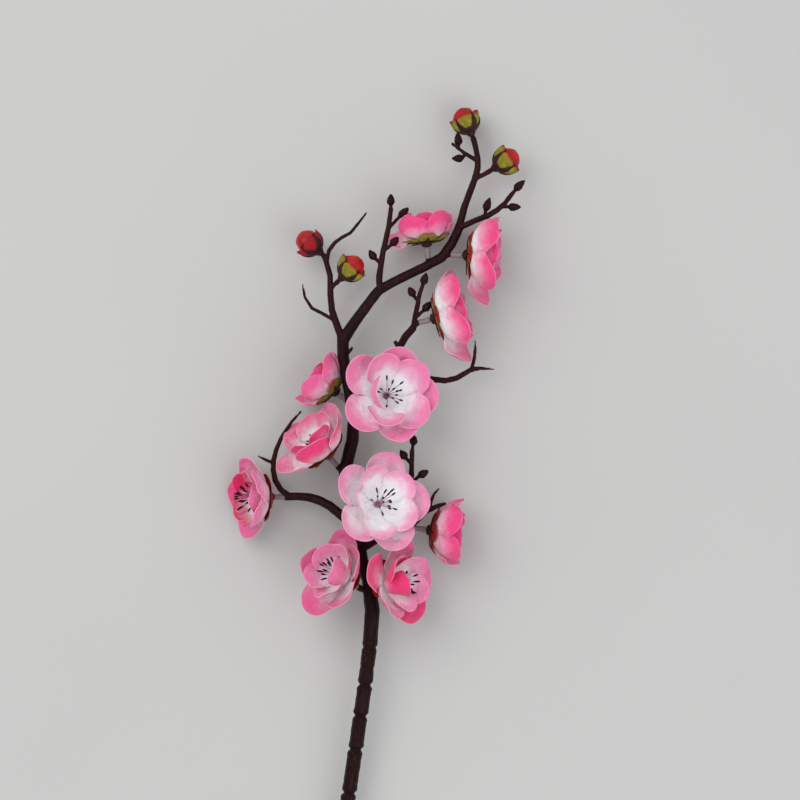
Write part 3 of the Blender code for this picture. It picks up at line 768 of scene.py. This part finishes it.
# length is that of an outer petal. outer and inner are each petal's lean from the axis, in degrees. cup is
# how much the lean closes along a petal, and curl the share of it at the tip. rims and backs are the dyes
# of the outer and the inner layer, white up to white_to and full at full_at. strong adds dye to single
# petals, and twist raises one edge. bald is the side, in degrees, where folded petals leave no room for
# filaments. thread shortens the filaments.
FLOWERS = [
    dict(length=17.5, outer=(42, 84, 46, 38, 40), inner=(28, 26, 24, 28, 26), cup=38,
         curl=1.1, inner_share=0.8, thread=0.6,
         rims=(SOFT_PINK, MID_PINK), backs=(HOT_PINK, HOT_PINK), white_to=0.28, full_at=0.9,
         twist=((0, -6, 0, 0, 0), EVEN)),
    dict(length=22.5, outer=(45, 54, 48, 52, 72), inner=(38, 36, 36, 38, 38), cup=38,
         curl=1.1, inner_share=0.78, thread=0.7,
         rims=(SOFT_PINK, MID_PINK), backs=(HOT_PINK, HOT_PINK), white_to=0.42, full_at=1.02,
         strong=((0, 0, 0, 0, 0.5), EVEN), twist=((0, 0, 0, 0, 3), EVEN)),
    dict(length=23, outer=(54, 58, 50, 54, 70), inner=(38, 38, 36, 38, 38), cup=38,
         curl=1.1, inner_share=0.78, thread=0.7,
         rims=(SOFT_PINK, MID_PINK), backs=(HOT_PINK, HOT_PINK), white_to=0.5, full_at=1.08,
         strong=((0, 0, 0, 0, 0.4), EVEN), twist=((0, 0, 0, 0, 3), EVEN)),
    dict(length=17.5, outer=(42, 46, 38, 40, 42), inner=(26, 26, 24, 26, 26), cup=36,
         curl=1.1, inner_share=0.8, thread=0.6,
         rims=(MID_PINK, CRIMSON), backs=(MID_PINK, HOT_PINK), white_to=0.3, full_at=1.0,
         twist=((0, -3, 0, 0, 0), EVEN)),
    dict(length=21.5, outer=(64, 62, 68, 68, 62), inner=(66, 46, 10, 36, 64), cup=20, inner_share=0.93,
         rims=(SOFT_PINK, SOFT_PINK), backs=(SOFT_PINK, SOFT_PINK), white_to=0.34, full_at=0.9),
    dict(length=21, outer=(50, 68, 36, 46, 50), inner=(32, 30, 24, 26, 30), cup=28, bald=180, thread=0.5,
         rims=(MID_PINK, HOT_PINK), backs=(HOT_PINK, HOT_PINK), white_to=0.48, full_at=1.06,
         strong=((0, 0.2, 0.6, 0, 0), (0, 0.1, 0, 0.1, 0)), twist=((0, -1, 0, 0, 0), EVEN)),
    dict(length=18.5, outer=(44, 62, 42, 44, 56), inner=(50, 44, 30, 34, 36), cup=22,
         rims=(MID_PINK, CRIMSON), backs=(SOFT_PINK, SOFT_PINK), white_to=0.36, full_at=0.98,
         strong=((0.4, 0, 0, 0, 0), (0, 0, 0, 0, 0.9)), twist=((0, -3, 0, 0, 0), (-2, 0, 0, 0, 0))),
    dict(length=22, outer=(64, 70, 64, 66, 63), inner=(50, 46, 40, 52, 50), cup=20,
         rims=(SOFT_PINK, SOFT_PINK), backs=(MID_PINK, MID_PINK), white_to=0.5, full_at=1.05),
    dict(length=19.5, outer=(44, 50, 46, 34, 38), inner=(28, 28, 26, 26, 26), cup=36,
         curl=1.1, inner_share=0.8, thread=0.6,
         rims=(SOFT_PINK, MID_PINK), backs=(HOT_PINK, HOT_PINK), white_to=0.3, full_at=0.96),
    dict(length=20, outer=(42, 74, 60, 42, 56), inner=(32, 44, 4, 30, 34), cup=20, bald=180,
         rims=(ROSE, SOFT_PINK), backs=(MID_PINK, SOFT_PINK), white_to=0.26, full_at=0.9,
         twist=((0, -3, 0, 0, 0), EVEN)),
    dict(length=20, outer=(60, 56, 74, 44, 60), inner=(38, 40, -12, 34, 36), cup=20, bald=180,
         rims=(SOFT_PINK, SOFT_PINK), backs=(HOT_PINK, MID_PINK), white_to=0.36, full_at=0.98,
         strong=((0, 0.4, 1, 0.1, 0.9), (0, 1, 1, 0, 0))),
]


def foot_lean(leans, cup):
    """The lean of the ring that joins the five petals."""
    return min(FLATTEST, sum(leans) / LOBES + cup)


def wider_lean(leans, index):
    """The lean of the more open one of the two petals that a sepal lies between."""
    return max(leans[index], leans[(index + 1) % LOBES])


def petal_leans(lean, foot, cup, curl, flick):
    """A petal lies flat at the hole, turns up past the ring, cups, curls in, and flicks out at its tip."""
    return [(0, 86), (0.06, 82), (PETAL_JOIN, foot), (PETAL_JOIN + 0.1, lean + 0.6 * cup),
            (0.7, lean - 0.7 * cup), (0.93, lean - curl * cup), (1, lean - curl * cup + flick)]


def sector_width(share, radius):
    """Half width of a fifth of a ring, filled up to this share."""
    return share * radius * math.tan(LOBE_STEP / 2)


def narrower(one, other, roundness):
    """The smaller of two half widths, with a soft change from one to the other."""
    return (one ** -roundness + other ** -roundness) ** (-1 / roundness)


def petal_width(length):
    """Half width in the flat cut: as wide as the sector near the foot, then a round lobe."""
    def width(reach, out):
        sector = sector_width(SECTOR_FILL, HOLE + reach * length)
        return narrower(sector, FULLNESS * length, PETAL_ROUNDNESS)
    return width


def petal_layer(leans, length, cup, curl, turn, strong, twist, dice):
    """The five petals of a layer, the first one at this turn."""
    foot = foot_lean(leans, cup) - FOOT_LIFT
    lobes = []
    for index, lean in enumerate(leans):
        flick = dice.choice(TIP_FLICKS)
        scatter = dice.uniform(-LEAN_SCATTER, LEAN_SCATTER)
        side = petal_leans(lean + OPEN_MORE + scatter, foot, cup, curl, flick)
        ruffle = dice.uniform(*PETAL_RUFFLE)
        lobes.append(formed_lobe(turn + index * LOBE_STEP, side, length, half_width=petal_width(length),
                                 bowl=PETAL_BOWL * length, tilt=TILT + twist[index], ruffle=ruffle,
                                 dice=dice, strong=strong[index], **PETAL_FORM))
    return lobes


def make_petals(number, facts, seat):
    dice = np.random.default_rng(100 + number)
    inner_length = facts["length"] * facts.get("inner_share", INNER_SHARE)
    layers = [("outer", facts["length"], 0, OUTER_SEAT), ("inner", inner_length, LOBE_STEP / 2, INNER_SEAT)]
    for which, (layer, length, turn, height) in enumerate(layers):
        name = f"flower_{number}_petals_{layer}"
        strong, twist = (facts.get(key, (EVEN, EVEN))[which] for key in ("strong", "twist"))
        curl = facts.get("curl", CURL)
        lobes = petal_layer(facts[layer], length, facts["cup"], curl, turn, strong, twist, dice)
        cloth = petal_cloth(f"petal_cloth_{number}_{layer}", facts["rims"][which], facts["backs"][which],
                            facts["white_to"], facts["full_at"])
        petals = formed_layer(f"blossom_{number}_{layer}", lobes, PETAL_THICKNESS, seat, height)
        finished(petals, cloth, "petal_cloth", name)


for number, (facts, seat) in enumerate(zip(FLOWERS, flower_seats), 1):
    make_petals(number, facts, seat)
print("petal layers made for", len(FLOWERS), "flowers")

# %% [markdown]
# ## Sepal cloth
#
# Under the petals sits a small five-lobed layer of green cloth whose lobe tips are dyed red. It hides the
# hot-glue joint on the real flower. The same former makes it, with short round lobes that hug the backs of
# the petals.

# %% Dye and form the sepal cloth
OLIVE, LEAF_GREEN, BRICK = dye(120, 112, 26), dye(152, 148, 40), dye(150, 20, 26)
SEPAL_CLOTH_SEAT = 6.9
SEPAL_CLOTH_LENGTH = 9.6
SEPAL_CLOTH_FORM = dict(length=SEPAL_CLOTH_LENGTH, hole=HOLE, join=0.3, cap=0.3, bowl=14, tilt=0.15,
                        ruffle=0.12, rows=16, columns=13)
SEPAL_CLOTH_THICKNESS = 0.18
SEPAL_CLOTH_FILL = 0.97
SEPAL_CLOTH_HALF = 4.1
SEPAL_CLOTH_ROUNDNESS = 5.0
CLOSER = 0.1
COARSE_THREAD_DEPTH = 0.08
# The share of its length from which each flower's sepal cloth is red.
SEPAL_RED_FROM = [0.95, 0.55, 0.6, 0.85, 0.7, 0.5, 0.2, 0.7, 0.15, 0.6, 0.6]


def green_cloth(name, red_from):
    """Green cloth whose lobes are red from this share of their length on."""
    finish = Finish(name)
    flat = finish.mark("flat_cut", output=1)
    along, edge = finish.mark("along"), finish.mark("cut_edge")
    cloud = finish.noise(flat, 0.5, 3.0)
    fibre = finish.noise(flat, 3.0, 4.0)
    green = finish.mix(cloud.ease(0.35, 0.65), OLIVE, LEAF_GREEN)
    redness = (along + (cloud - 0.5) * 0.5).ease(red_from - 0.08, red_from + 0.14)
    colour = finish.mix(redness, green, BRICK)
    colour = finish.mix(edge * 0.3, colour, dye(140, 44, 30))
    relief = finish.bump(weave(finish, flat) * 0.6 + fibre, COARSE_THREAD_DEPTH)
    return finish.done(Base_Color=colour, Roughness=0.7 + fibre * 0.2, Normal=relief, Specular_IOR_Level=0.3)


def sepal_cloth_width(reach, out):
    sector = sector_width(SEPAL_CLOTH_FILL, HOLE + reach * SEPAL_CLOTH_LENGTH)
    return narrower(sector, SEPAL_CLOTH_HALF, SEPAL_CLOTH_ROUNDNESS)


def make_sepal_cloth(number, facts, seat, red_from):
    dice = np.random.default_rng(200 + number)
    foot = foot_lean(facts["outer"], facts["cup"])
    lobes = []
    for index in range(LOBES):
        hug = wider_lean(facts["outer"], index) - CLOSER * facts["cup"]
        side = [(0, 88), (0.22, 88), (0.45, min(88, foot + 3)), (1, hug + dice.uniform(-3, 8))]
        lobes.append(formed_lobe((index + 0.5) * LOBE_STEP, side, half_width=sepal_cloth_width, dice=dice,
                                 **SEPAL_CLOTH_FORM))
    layer = formed_layer(f"sepal_cloth_{number}", lobes, SEPAL_CLOTH_THICKNESS, seat, SEPAL_CLOTH_SEAT)
    finished(layer, green_cloth(f"sepal_dye_{number}", red_from), "wrap_cloth")


for number, (facts, seat, red) in enumerate(zip(FLOWERS, flower_seats, SEPAL_RED_FROM), 1):
    make_sepal_cloth(number, facts, seat, red)
print("sepal layers made:", len(FLOWERS))

# %% [markdown]
# ## Calyx
#
# The calyx is a little dark cup with five long thin sepals, moulded in a softer plastic than the branch.
# Makers call it a spider. It holds the cloth layers together from below, and its sepals lie along the backs
# of the petals.

# %% Mould the calyxes
CALYX_SEAT = 4.95
CALYX_JOIN = 0.22
CALYX_FORM = dict(length=8.5, hole=HOLE, join=CALYX_JOIN, cap=0, bowl=6, tilt=0, ruffle=0, rows=26, columns=9)
CALYX_THICKNESS = 0.42
WIDER = 0.1

finish = Finish("maroon_plastic")
grain = finish.noise(finish.place(), 2200.0, 4.0)
tone = finish.noise(finish.place(), 420.0)
colour = finish.mix(tone, dye(32, 8, 11), dye(54, 16, 20))
maroon = finish.done(Base_Color=colour, Roughness=0.36 + grain * 0.25, Specular_IOR_Level=0.25,
                     Normal=finish.bump(grain, 0.12))


def sepal_width(reach, out):
    """Half width of a sepal: the whole sector in the cup, then a thin point."""
    narrow = np.interp(reach, [0, CALYX_JOIN, 0.42, 0.75, 1.0], [9, 9, 1.0, 0.55, 0.16])
    return np.minimum(sector_width(0.99, out), narrow)


def make_calyx(number, facts, seat):
    dice = np.random.default_rng(300 + number)
    spread = min(88, foot_lean(facts["outer"], facts["cup"]) + 5)
    lobes = []
    for index in range(LOBES):
        hug = wider_lean(facts["outer"], index) + WIDER * facts["cup"]
        side = [(0, 84), (0.08, 70), (0.14, 20), (0.22, 30), (0.3, spread), (0.55, spread),
                (0.9, hug + dice.uniform(0, 8)), (1, hug + dice.uniform(0, 30))]
        lobes.append(formed_lobe((index + 0.5) * LOBE_STEP, side, half_width=sepal_width, dice=dice,
                                 **CALYX_FORM))
    calyx = formed_layer(f"spider_calyx_{number}", lobes, CALYX_THICKNESS, seat, CALYX_SEAT)
    finished(calyx, maroon, "calyx_plastic", f"flower_{number}_calyx")


for number, (facts, seat) in enumerate(zip(FLOWERS, flower_seats), 1):
    make_calyx(number, facts, seat)
print("calyxes made:", len(FLOWERS))

# %% [markdown]
# ## Sleeve and stamens
#
# One moulding in milky plastic does two jobs. Below, a short sleeve grips the branch's peg. Above the
# petals, a head carries a fountain of thin filaments, and the tips of these were dipped in dark purple
# paint. Each filament is a tapered tube along a bent line, and each anther is a thicker one in a second
# finish.

# %% Mix the milky plastic and the anther paint
finish = Finish("milky_plastic")
haze = finish.noise(finish.place(), 700.0)
colour = finish.mix(haze, dye(126, 110, 115), dye(166, 150, 156))
milky = finish.done(Base_Color=colour, Roughness=0.3 + haze * 0.15, Normal=finish.bump(haze, 0.1),
                    Transmission_Weight=0.35, IOR=1.45)

finish = Finish("filament_plastic")
haze = finish.noise(finish.place(), 900.0)
colour = finish.mix(haze, dye(120, 70, 112), dye(176, 124, 160))
filament_plastic = finish.done(Base_Color=colour, Roughness=0.4 + haze * 0.1, Normal=finish.bump(haze, 0.05),
                               Subsurface_Weight=0.3, Subsurface_Scale=0.0005)

finish = Finish("anther_paint")
speck = finish.noise(finish.place(), 3000.0)
colour = finish.mix(speck, dye(10, 3, 14), dye(32, 10, 36))
anther_paint = finish.done(Base_Color=colour, Roughness=0.45 + speck * 0.2, Specular_IOR_Level=0.2,
                           Normal=finish.bump(speck, 0.1))

HEAD_BASE, HEAD_TOP, HEAD_RADIUS = 9.0, 9.6, 1.3
FILAMENTS = 16
FILAMENT_LEANS = (12, 28, 40)
FILAMENT_LENGTHS = (8.8, 8.4, 7.6)
FILAMENT_STEPS = 7
BALD_LIMIT = 0.3
ANTHER_LENGTH = (1.8, 3.2)
ANTHER_PLACES = [-0.05, 0.15, 0.5, 0.85, 1.0]
ANTHER_SIZES = [0.13, 0.3, 0.4, 0.32, 0.13]
TUBE_SIDES = 8
TURNED_SIDES = 24


def band_faces(rings, sides):
    """The faces between rings of points that follow each other, and the two that close the ends."""
    faces = []
    for ring in range(rings - 1):
        for step in range(sides):
            near, far, turned = ring * sides, (ring + 1) * sides, (step + 1) % sides
            faces.append((near + step, near + turned, far + turned, far + step))
    faces.append(tuple(reversed(range(sides))))
    faces.append(tuple(range((rings - 1) * sides, rings * sides)))
    return faces


def tube(points, radii):
    """Corner points and faces of a closed tube along a line."""
    line = [Vector(point) for point in points]
    corners = []
    aside = (line[1] - line[0]).orthogonal().normalized()
    for index, (point, radius) in enumerate(zip(line, radii)):
        along = (line[min(index + 1, len(line) - 1)] - line[max(index - 1, 0)]).normalized()
        aside = (aside - along * aside.dot(along)).normalized()
        other = along.cross(aside)
        for step in range(TUBE_SIDES):
            angle = 2 * math.pi * step / TUBE_SIDES
            corners.append(point + (aside * math.cos(angle) + other * math.sin(angle)) * radius)
    return corners, band_faces(len(line), TUBE_SIDES)


def turned_solid(profile):
    """Corner points and faces of a (radius, height) profile turned round the axis, with closed ends."""
    corners = []
    for radius, height in profile:
        for step in range(TURNED_SIDES):
            angle = 2 * math.pi * step / TURNED_SIDES
            corners.append(Vector((radius * math.cos(angle), radius * math.sin(angle), height)))
    return corners, band_faces(len(profile), TURNED_SIDES)


def one_mesh(name, shapes):
    """Joins (corners, faces, finish number) shapes into one mesh."""
    corners, faces, finishes = [], [], []
    for shape_corners, shape_faces, number in shapes:
        start = len(corners)
        corners += shape_corners
        faces += [tuple(start + index for index in face) for face in shape_faces]
        finishes += [number] * len(shape_faces)
    mesh = bpy.data.meshes.new(name)
    mesh.from_pydata(corners, [], faces)
    mesh.polygons.foreach_set("material_index", finishes)
    smooth(mesh)
    mesh.update()
    return placed(name, mesh)


SLEEVE_PROFILE = [
    (0.78, 0.02), (1.1, 0), (1.24, 0.12), (1.24, 0.5), (1.12, 0.8), (1.08, 2.4), (1.16, 3.6), (1.3, 4.1),
    (1.24, 4.4), (0.5, 4.45),
]
HEAD_PROFILE = [
    (0.5, 4.4), (0.5, HEAD_BASE), (HEAD_RADIUS, HEAD_BASE + 0.25), (HEAD_RADIUS, HEAD_TOP - 0.1),
    (1.0, HEAD_TOP + 0.1), (0.4, HEAD_TOP + 0.25),
]


def filament(turn, start_radius, lean, length, curl):
    """A thread that leaves the head almost upright and bends outwards."""
    points, radii = [], []
    out, up = start_radius, HEAD_TOP
    for step in range(FILAMENT_STEPS + 1):
        points.append((out * math.cos(turn + curl * step), out * math.sin(turn + curl * step), up))
        radii.append(0.15 - 0.04 * step / FILAMENT_STEPS)
        angle = math.radians(lean) * (0.35 + 0.9 * step / FILAMENT_STEPS)
        out += math.sin(angle) * length / FILAMENT_STEPS
        up += math.cos(angle) * length / FILAMENT_STEPS
    return points, radii


def anther(points, length):
    """The painted tip: a spindle that carries on along the thread."""
    start, last = Vector(points[-2]), Vector(points[-1])
    along = (last - start).normalized()
    return [last + along * length * place for place in ANTHER_PLACES], ANTHER_SIZES


def make_stamens(number, seat, bald, share):
    """A sleeve and its filaments, this share of their full length, with none on the bald side."""
    dice = np.random.default_rng(400 + number)
    shapes = [(*turned_solid(SLEEVE_PROFILE), 0), (*turned_solid(HEAD_PROFILE), 1)]
    for index in range(FILAMENTS):
        ring = index % len(FILAMENT_LEANS)
        turn = 2 * math.pi * (index + dice.uniform(-0.35, 0.35)) / FILAMENTS
        lean = FILAMENT_LEANS[ring] + dice.uniform(-5, 5)
        length = (FILAMENT_LENGTHS[ring] + dice.uniform(-1.4, 1.0)) * share
        if bald is not None and math.cos(turn - math.radians(bald)) > BALD_LIMIT:
            continue
        points, radii = filament(turn, 0.35 + 0.25 * ring, lean, length, dice.uniform(-0.02, 0.02))
        shapes.append((*tube(points, radii), 1))
        shapes.append((*tube(*anther(points, dice.uniform(*ANTHER_LENGTH))), 2))
    stamens = one_mesh(f"stamens_{number}", shapes)
    stamens.data.transform(seat)
    finished(stamens, milky, "clear_plastic", f"flower_{number}_stamens")
    stamens.data.materials.append(filament_plastic)
    stamens.data.materials.append(anther_paint)


for number, (facts, seat) in enumerate(zip(FLOWERS, flower_seats), 1):
    make_stamens(number, seat, facts.get("bald"), facts.get("thread", 1))
print("filaments in each flower:", FILAMENTS)

# %% [markdown]
# ## Buds
#
# A closed bud is a foam ball dyed red, wrapped in one lobed piece of cloth and pushed into a dark cup with
# five pointed sepals. Its solid ball and cup are both round about the same axis, so their middles give the
# axis.

# %% Axes of the buds
BUD_COUNT = 4


def bud_seat(number):
    """The matrix that takes a bud built round its ball's middle to its twig, and the ball's radius."""
    ball = solid_points(f"bud_{number}_ball")
    cup = solid_points(f"bud_{number}_calyx")
    axis = Vector(ball.mean(axis=0) - cup.mean(axis=0)).normalized()
    heights = ball @ np.array(axis)
    top = ball[heights.argmax()]
    off_axis = ball - top
    radius = np.linalg.norm(off_axis - np.outer(off_axis @ np.array(axis), axis), axis=1).max()
    return seat_matrix(top - radius * np.array(axis), axis, cup), radius


bud_seats = [bud_seat(number) for number in range(1, BUD_COUNT + 1)]
print("ball radius", round(bud_seats[0][1], 2), "mm")

# %% [markdown]
# The ball shows only at the top. It is a turned shape with soft folds, because the dyed foam skin is
# gathered towards the tip like a furled blossom.

# %% Make the balls
RED_DEEP, RED_BRIGHT = dye(120, 3, 10), dye(184, 8, 14)
BALL_SEGMENTS = 60
BALL_RINGS = 36
FOLDS = 3
FOLD_HEIGHT = 0.32
FOLD_WIND = 0.9
BALL_INSET = 0.12

finish = Finish("red_foam")
pores = finish.noise(finish.place(), 2400.0, 3.0)
mottle = finish.noise(finish.place(), 260.0)
colour = finish.mix(mottle.ease(0.3, 0.7), RED_DEEP, RED_BRIGHT)
red_foam = finish.done(Base_Color=colour, Roughness=0.24 + pores * 0.16, Specular_IOR_Level=0.3,
                       Normal=finish.bump(pores, 0.12), Subsurface_Weight=0.1)


def furled_ball(radius, dice):
    """A ball whose surface steps in overlapping folds that wind towards the tip."""
    corners, faces = [], []
    phase = dice.uniform(0, 6)
    for ring in range(BALL_RINGS + 1):
        tip = math.pi * ring / BALL_RINGS
        for step in range(BALL_SEGMENTS):
            turn = 2 * math.pi * step / BALL_SEGMENTS
            wound = (turn * FOLDS / (2 * math.pi) + FOLD_WIND * tip + phase) % 1
            fold = (wound ** 3 - 0.3) * FOLD_HEIGHT * math.sin(tip) ** 0.7
            size = radius + fold
            out = size * math.sin(tip)
            corners.append(Vector((out * math.cos(turn), out * math.sin(turn), size * math.cos(tip))))
    for ring in range(BALL_RINGS):
        for step in range(BALL_SEGMENTS):
            near, far = ring * BALL_SEGMENTS, (ring + 1) * BALL_SEGMENTS
            turned = (step + 1) % BALL_SEGMENTS
            faces.append((near + step, far + step, far + turned, near + turned))
    return corners, faces


for number, (seat, radius) in enumerate(bud_seats, 1):
    dice = np.random.default_rng(500 + number)
    ball = one_mesh(f"bud_ball_{number}", [(*furled_ball(radius - BALL_INSET, dice), 0)])
    welded(ball.data, ball.data, SAME_POINT)
    ball.data.transform(seat)
    finished(ball, red_foam, "bud_foam", f"bud_{number}_ball")
print("balls made:", BUD_COUNT)

# %% [markdown]
# The wrap is green cloth with a red blush at the tips of its lobes, and its edges fray and lift away from
# the ball. The cup below it is dark, and its sepals point up the sides of the wrap.

# %% Wrap the buds
BUD_HOLE = 0.75
WRAP_GAP = 0.5
WRAP_FORM = dict(hole=BUD_HOLE, join=0.3, cap=0.22, tilt=0.28, ruffle=0.32, rows=26, columns=19)
WRAP_HALF = 3.6
WRAP_OVERLAP = 1.1
WRAP_THICKNESS = 0.2
WRAP_LIFTS = [0, 0, 18, 40]
# How far up each ball its wrap reaches, in degrees, and the share of its length from which it is red.
WRAP_REACH = (104, 112, 96, 108)
WRAP_RED_FROM = (0.8, 0.86, 0.3, 0.88)
CUP_SEAT = -7.75
CUP_JOIN = 0.3
CUP_FORM = dict(length=10.6, hole=BUD_HOLE, join=CUP_JOIN, cap=0, bowl=5, tilt=0, ruffle=0, rows=30,
                columns=11)
CUP_THICKNESS = 0.4


def wrap_width(reach, out):
    """Half width of a wrap's lobe: it overlaps its neighbours until it has its full width."""
    return np.minimum(WRAP_OVERLAP * out * LOBE_STEP / 2, WRAP_HALF)


def cup_width(reach, out):
    """Half width of a bud's sepal: the whole sector in the cup, then a point."""
    narrow = np.interp(reach, [0, CUP_JOIN, 0.44, 0.75, 1.0], [9, 9, 1.35, 0.75, 0.15])
    return np.minimum(sector_width(0.98, out), narrow)


def make_wrap(number, seat, radius, reach, red_from):
    dice = np.random.default_rng(600 + number)
    ball = radius + WRAP_GAP
    length = math.radians(reach) * ball
    lobes = []
    for index in range(LOBES):
        lift = dice.choice(WRAP_LIFTS)
        side = [(0, 90), (0.86, 90 - 0.86 * reach), (1, 90 - reach + lift)]
        lobes.append(formed_lobe((index + 0.5) * LOBE_STEP, side, length, half_width=wrap_width, bowl=ball,
                                 dice=dice, **WRAP_FORM))
    wrap = formed_layer(f"bud_wrap_{number}", lobes, WRAP_THICKNESS, seat, -ball)
    finished(wrap, green_cloth(f"wrap_dye_{number}", red_from), "wrap_cloth", f"bud_{number}_wrap")


def make_cup(number, seat):
    dice = np.random.default_rng(700 + number)
    lobes = []
    for index in range(LOBES):
        side = [(0, 36), (0.19, 36), (0.21, 70), (0.9, -4), (1, -15 + dice.uniform(5, 60))]
        lobes.append(formed_lobe(index * LOBE_STEP, side, half_width=cup_width, dice=dice, **CUP_FORM))
    cup = formed_layer(f"bud_cup_{number}", lobes, CUP_THICKNESS, seat, CUP_SEAT)
    finished(cup, maroon, "calyx_plastic", f"bud_{number}_calyx")


for number, (seat, radius) in enumerate(bud_seats, 1):
    make_wrap(number, seat, radius, WRAP_REACH[number - 1], WRAP_RED_FROM[number - 1])
    make_cup(number, seat)
print("buds wrapped:", BUD_COUNT)
